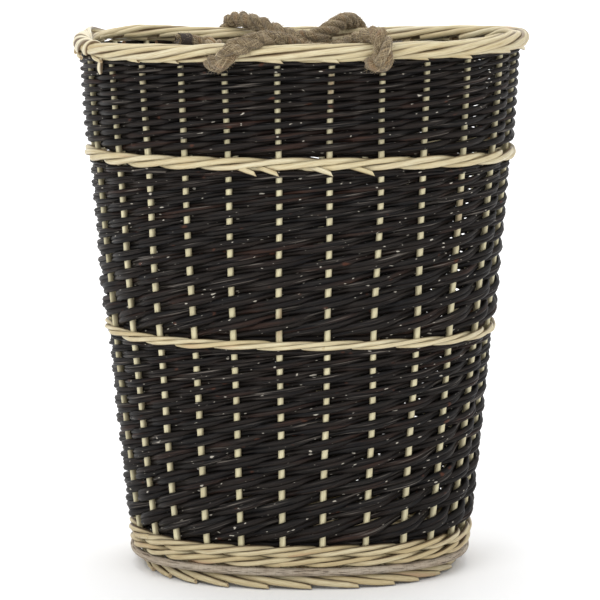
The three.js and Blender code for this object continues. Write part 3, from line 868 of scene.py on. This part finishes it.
# ---------------------------------------------------------------- the rolled border
BORDER_MIDDLE = 500.6
BORDER_OFFSET = 3.0
BORDER_END_TUCK = 2.0
BORDER_ROD = 5.9
BORDER_HALF = (8.1, 5.0)  # of the oval that the rods' middles follow, outwards and up
BORDER_START, BORDER_END = -118, 214  # degrees round the section, 0 outwards and 90 up
BORDER_SPACES = 6.7  # the stakes' spaces that one rod covers
FAN_PAIRS = 7
FAN_OUTER = (0.655, 0.797)  # of the way round, where the first and the last of them come up outside
FAN_INNER = (0.758, 0.806)  # and where they go down inside
FAN_HALF_PAIR = 0.0023
UNDER_FAN = 0.25  # how small the border is under them
HANGING_TIP = 0.82


def border_section(share):
    """Offset and height where a border rod's middle is, evenly along its way round the section."""
    angle = np.radians(np.linspace(BORDER_START, BORDER_END, 400))
    offset = BORDER_HALF[0] * np.cos(angle)
    height = BORDER_HALF[1] * np.sin(angle)
    length = np.concatenate([[0], np.cumsum(np.hypot(np.diff(offset), np.diff(height)))])
    return np.interp(share * length[-1], length, offset), np.interp(share * length[-1], length, height)


def border_offset(around):
    """How far outside the wall's middle the border's is: less at the two ends than along the sides."""
    ux, _uy = oval(np.interp(around % 1, OUTLINE_SHARES, OUTLINE_ANGLES))
    return BORDER_OFFSET - BORDER_END_TUCK * np.abs(ux) ** 4


def make_border():
    rods = Rods()
    for i in range(STAKES):
        share = np.linspace(0, 1, 90)
        offset, height = border_section(share)
        around = (i + 0.55 + share * BORDER_SPACES + rng.normal(0, 0.05)) / STAKES
        far = share * BORDER_SPACES * 46
        radius = willow_radius(far, BORDER_ROD / 2 * (1 + rng.normal(0, 0.07)), 0.04)
        swell = 1 + drift(far, 120, 0.07) + rng.normal(0, 0.05)
        swell = swell * np.interp(around % 1, [0.64, 0.68, 0.79, 0.83], [1, UNDER_FAN, UNDER_FAN, 1])
        line, out = wall(
            around, BORDER_MIDDLE + height * swell + drift(far, 130, 0.7),
            border_offset(around) + offset * swell + drift(far, 110, 0.7),
        )
        centre, _ = wall(around, BORDER_MIDDLE, border_offset(around))
        rods.add(line, radius, line - centre + [0, 0, 0.01], sides=14)
    made = rods.build("border_rods", PALE)
    settle(made, "top_border")
    rods = Rods()
    for i in range(STAKES):
        share = np.linspace(0, 1, 14)
        long = rng.uniform(0.5, 0.85)
        around = (i + 0.46 - long + share * long + rng.normal(0, 0.09)) / STAKES
        height = 496.4 - share**1.3 * rng.uniform(2.2, 4.6)
        offset = -1 + rng.uniform(8.8, 10.8) * np.sin(share * math.pi / 2)
        line, out = wall(around, height, offset)
        radius = np.interp(share, [0, 0.8, 1], [2.6, 2.4, 1.9]) * rng.uniform(0.8, 1.1)
        rods.add(line, radius, out, sides=12, slant=(0, 0, -1.2))
    tips = rods.build("border_tips", PALE)
    # the last rods of the border are threaded in steeply at the left end, with their butts outside
    rods = Rods()
    for i, member in [(i, member) for i in range(FAN_PAIRS) for member in (-1, 1)]:
        share = np.linspace(0, 1, 30)
        angle = np.radians(-30 + 202 * share)
        outer, inner = (np.interp(i / (FAN_PAIRS - 1), [0, 1], ends) for ends in (FAN_OUTER, FAN_INNER))
        around = outer + (inner - outer) * share + FAN_HALF_PAIR * member * (1 - 0.5 * share)
        proud = 3.0 + rng.normal(0, 0.5)
        height = BORDER_MIDDLE + (BORDER_HALF[1] + proud) * np.sin(angle)
        offset = border_offset(around) + (BORDER_HALF[0] + proud - 4) * np.cos(angle)
        line, out = wall(around, height, offset)
        centre, _ = wall(around, BORDER_MIDDLE, border_offset(around))
        radius = np.interp(share, [0, 0.1, 0.5, 1], [2.4, 2.6, 2.3, 1.6]) * rng.uniform(0.92, 1.08)
        rods.add(line, radius, line - centre + [0, 0, 0.01], sides=12)
    share = np.linspace(0, 1, 10)
    line, out = wall(HANGING_TIP, 494 - 13 * share, 5 + 3 * np.sin(share * 2.2))
    rods.add(line, np.interp(share, [0, 0.7, 1], [2.4, 2.6, 1.8]), out, sides=12, slant=(0, 0, -0.8))
    fan = rods.build("border_fan", FAN_PALE)
    settle(tips)
    settle(fan)


make_border()


# ---------------------------------------------------------------- the foot
FOOT_BORDER_SQUEEZE = 0.93  # the foot border is shorter than the wall above it
HOOP_START, HOOP_TURNS = 0.62, 1.035  # in turns of the wall
# how far some strokes of the foot border lie past their even places, in stakes' spaces
STROKE_SHIFTS = {23: 0.19, 24: 0.36, 25: 0.58, 0: 0.53, 1: 0.42, 2: 0.35, 3: 0.3, 4: 0.2, 5: 0.1}


def make_foot():
    rods = Rods()
    for i in range(STAKES):
        share = np.linspace(0, 1, 30)
        around = (i - 0.4 + STROKE_SHIFTS.get(i, 0.0) + share * 2.25 + rng.normal(0, 0.03)) / STAKES
        height = np.interp(share, [0, 0.35, 0.65, 1], [10.6, 9.4, 6.6, 3.0]) + drift(share * 80, 60, 0.15)
        offset = np.interp(share, [0, 0.35, 0.65, 1], [-3.5, 1.4, 4.6, 7.4])
        line, out = wall(around, height, offset)
        line[:, 0] *= FOOT_BORDER_SQUEEZE
        radius = np.interp(share, [0, 0.55, 0.9, 1], [3.4, 3.9, 3.1, 2.1]) * (1 + rng.normal(0, 0.03))
        rods.add(line, radius, out, sides=12, slant=(0, 0, -0.6))
    border = rods.build("foot_border_rods", FOOT_PALE)
    settle(border, "foot_border")
    rods = Rods()
    around = np.linspace(HOOP_START, HOOP_START + HOOP_TURNS, 340)
    far = around * 870
    share = (around - HOOP_START) / HOOP_TURNS
    height = 17.3 + drift(far, 200, 0.25)
    offset = 5.4 + drift(far, 160, 0.3) + np.interp(share, [0, 0.02, 0.055, 1], [-3.4, -3.4, 0, 0])
    thin = np.interp(share, [0, 0.03, 0.96, 1], [0.55, 1, 1, 0.6])
    radius = willow_radius(far, 3.8, 0.03) * thin
    line, out = wall(around, height, offset)
    rods.add(line, radius, out, sides=16)
    hoop = rods.build("foot_hoop_rod", HOOP)
    settle(hoop, "foot_hoop")


make_foot()

# ---------------------------------------------------------------- the base
BASE_EDGE = 9.0
BASE_LEVEL = 19.0
CROSS_STICK_HEIGHT, LONG_STICK_HEIGHT, STICK_RADIUS = 17.6, 25.3, 3.6
CROSS_STICK_PLACES = [(i - 3) * 34.0 for i in range(7)]
LONG_STICK_PLACES = [(i - 1) * 24.0 for i in range(3)]
BASE_ROD = 4.6
LONG_STICK_REACH = 104  # the rounds cross the long sticks beyond this


def base_ring(rods, inset, over_first):
    """One round of the base's weaving, over and under the sticks in turn."""
    half_x = wall_half(BASE_LEVEL, 0) - BASE_EDGE - inset
    half_y = wall_half(BASE_LEVEL, 1) - BASE_EDGE - inset
    angle = np.linspace(0, TURN, 400, endpoint=False)
    ux, uy = oval(angle)
    x, y = ux * half_x, uy * half_y
    steps = np.hypot(np.diff(np.append(x, x[0])), np.diff(np.append(y, y[0])))
    length = np.concatenate([[0], np.cumsum(steps)[:-1]])
    total = steps.sum()
    crossings = []
    for i in range(len(x)):
        j = (i + 1) % len(x)
        for place in CROSS_STICK_PLACES:
            if (x[i] - place) * (x[j] - place) <= 0 and x[i] != x[j] and abs(place) < half_x - 4:
                crossings.append((length[i], CROSS_STICK_HEIGHT))
        for place in LONG_STICK_PLACES:
            crosses = (y[i] - place) * (y[j] - place) <= 0 and y[i] != y[j]
            if crosses and abs(place) < half_y - 4 and abs(x[i]) > LONG_STICK_REACH:
                crossings.append((length[i], LONG_STICK_HEIGHT))
    crossings.sort()
    kept = [crossings[0]]
    for place, height in crossings[1:]:
        if place - kept[-1][0] > 5:
            kept.append((place, height))
    reach = STICK_RADIUS + BASE_ROD / 2
    places = np.array([p for p, _ in kept])
    heights = np.array([h + reach * (1 if (k + over_first) % 2 else -1) for k, (_, h) in enumerate(kept)])
    even = np.linspace(0, total, int(total / 4.5), endpoint=False)
    before = np.searchsorted(places, even, side="right") - 1
    low, high = before % len(places), (before + 1) % len(places)
    gap = (places[high] - places[low]) % total
    share = ((even - places[low]) % total) / np.where(gap == 0, 1, gap)
    ease = (1 - np.cos(np.pi * share)) / 2
    z = heights[low] * (1 - ease) + heights[high] * ease
    px = np.interp(even, np.append(length, total), np.append(x, x[0]))
    py = np.interp(even, np.append(length, total), np.append(y, y[0]))
    line = np.stack([px, py, z + drift(even, 60, 0.1)], -1)
    rods.add(line, willow_radius(even, BASE_ROD / 2 * 0.98, 0.02), (0, 0, 1), sides=8, closed=True)


def make_base():
    rods = Rods()
    rings = int((wall_half(BASE_LEVEL, 1) - BASE_EDGE) / BASE_ROD) - 1
    for ring in range(rings):
        base_ring(rods, (ring + 0.5) * BASE_ROD, ring % 2)
    weave = rods.build("base_rounds", PALE)
    settle(weave, "base_weave")
    nodes = [f"base_long_stick_{i}" for i in (1, 2, 3)] + [f"base_cross_stick_{i}" for i in range(1, 8)]
    for node in nodes:
        low, high = (np.array(corner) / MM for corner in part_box(node))
        middle = (low + high) / 2
        axis = 0 if "long" in node else 1
        far = np.linspace(low[axis], high[axis], 40)
        line = np.tile(middle, (40, 1))
        line[:, axis] = far
        line[:, 2] += drift(far, 160, 0.2)
        line[:, 1 - axis] += drift(far, 200, 0.5)
        rods = Rods()
        rods.add(line, willow_radius(far, STICK_RADIUS, 0.03), (0, 0, 1), sides=12)
        stick = rods.build(f"{node}_rod", STICK)
        settle(stick, node)


make_base()


# ---------------------------------------------------------------- floor and light
def stage_material(name, colour):
    look = Look(name, roughness=0.9, specular=0.1)
    cloud = look.noise(look.attribute("grain", "Vector"), scale=3.0)
    return look.finish(look.mix(look.between(cloud, 0.3, 0.7, 0.0, 0.02), colour, (0.85, 0.85, 0.85)))


def make_floor():
    """A pale floor that curves up into a backdrop behind the basket."""
    half_width, front, bend_start, bend_radius, top = 7.0, -7.0, 2.2, 1.6, 6.0
    angle = np.linspace(0, math.pi / 2, 25)
    profile = [(front, 0.0)]
    profile += [(bend_start + bend_radius * math.sin(a), bend_radius * (1 - math.cos(a))) for a in angle]
    profile += [(bend_start + bend_radius, top)]
    points = [(x, y, z) for y, z in profile for x in (-half_width, half_width)]
    faces = [(2 * i, 2 * i + 1, 2 * i + 3, 2 * i + 2) for i in range(len(profile) - 1)]
    mesh = bpy.data.meshes.new("floor")
    mesh.from_pydata(points, [], faces)
    mesh.polygons.foreach_set("use_smooth", [True] * len(faces))
    mesh.materials.append(stage_material("floor_paint", (0.97, 0.97, 0.97)))
    floor = bpy.data.objects.new("floor", mesh)
    bpy.context.scene.collection.objects.link(floor)


def area_light(name, place, target, size, power):
    data = bpy.data.lights.new(name, "AREA")
    data.shape = "RECTANGLE"
    data.size, data.size_y = size
    data.energy = power
    light = bpy.data.objects.new(name, data)
    light.location = place
    light.rotation_euler = (Vector(target) - Vector(place)).to_track_quat("-Z", "Y").to_euler()
    bpy.context.scene.collection.objects.link(light)


make_floor()
world = bpy.data.worlds.new("studio")
world.use_nodes = True
world.node_tree.nodes["Background"].inputs["Color"].default_value = (1, 1, 1, 1)
world.node_tree.nodes["Background"].inputs["Strength"].default_value = 0.80
bpy.context.scene.world = world
area_light("key", (-1.3, -2.2, 1.9), (0, 0, 0.25), (1.6, 1.6), 30)
area_light("fill", (1.7, -2.0, 1.2), (0, 0, 0.25), (1.6, 1.6), 10)
area_light("top", (0.0, 0.3, 2.6), (0, 0, 0.3), (2.0, 2.0), 12)
area_light("backdrop", (0.0, 1.2, 2.4), (0, 3.4, 0.3), (4.0, 1.5), 60)
bpy.context.scene.view_settings.view_transform = "Standard"
bpy.context.scene.view_settings.look = "None"
